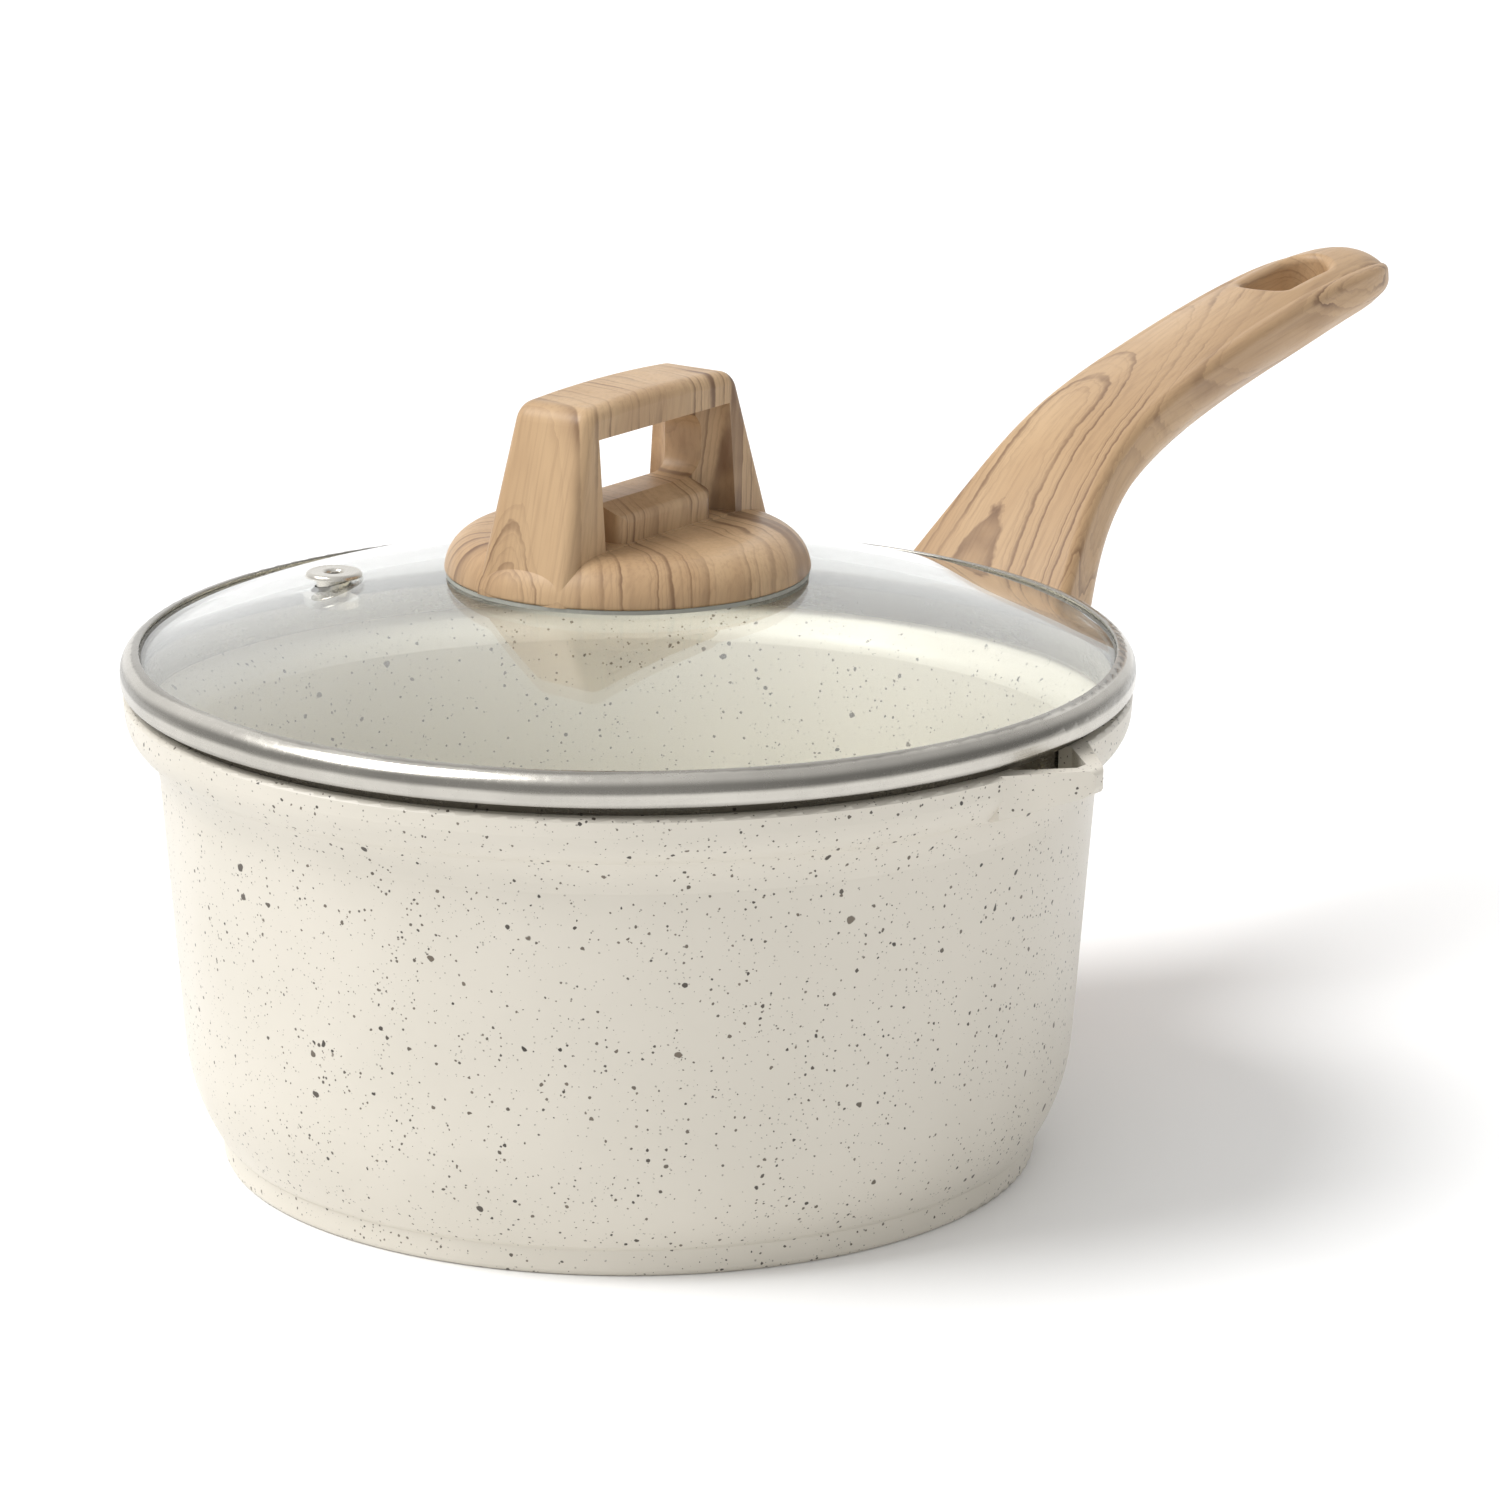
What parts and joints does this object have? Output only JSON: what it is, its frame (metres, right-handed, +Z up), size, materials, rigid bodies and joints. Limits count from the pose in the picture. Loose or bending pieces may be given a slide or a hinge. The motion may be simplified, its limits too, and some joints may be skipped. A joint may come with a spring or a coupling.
{
  "type": "saucepan with glass lid",
  "caption": "Cast saucepan with a pale speckled coating, a pouring lip, a curved wood-look handle and a domed glass lid in a steel band with a windowed knob.",
  "frame": {"origin": "centre of the pan's underside, on the resting face", "axes": "+X along the handle away from the pan, +Z up out of the pan, -Y towards the pouring lip"},
  "size_m": [0.3528, 0.1924, 0.1425],
  "materials": {
    "speckled_coating": "satin ceramic coating with brown and grey speckles over cast aluminium",
    "disc_steel": "brushed",
    "wood_print": "satin phenolic with a printed wood grain",
    "screw_steel": "plain",
    "tempered_glass": "clear, faintly green",
    "band_steel": "fine brushed",
    "seal_rubber": "matte",
    "gasket_rubber": "matte translucent silicone",
    "insert_brass": "turned"
  },
  "bodies": {
    "pan": {"pan_body": "speckled_coating", "induction_disc": "disc_steel", "handle_grip": "wood_print", "handle_screw": "screw_steel", "handle_washer": "screw_steel", "handle_spring_washer": "screw_steel"},
    "lid": {"lid_glass": "tempered_glass", "lid_band": "band_steel", "lid_seal": "seal_rubber", "vent_eyelet": "band_steel", "vent_ring": "band_steel", "knob": "wood_print", "knob_gasket": "gasket_rubber", "knob_insert": "insert_brass", "knob_under_gasket": "gasket_rubber", "knob_washer": "screw_steel", "knob_screw": "screw_steel"}
  },
  "joints": [
    {"name": "lid_lift", "type": "slide", "parent": "pan", "child": "lid", "axis": [0, 0, 1], "range_m": [0, 0.2]}
  ]
}
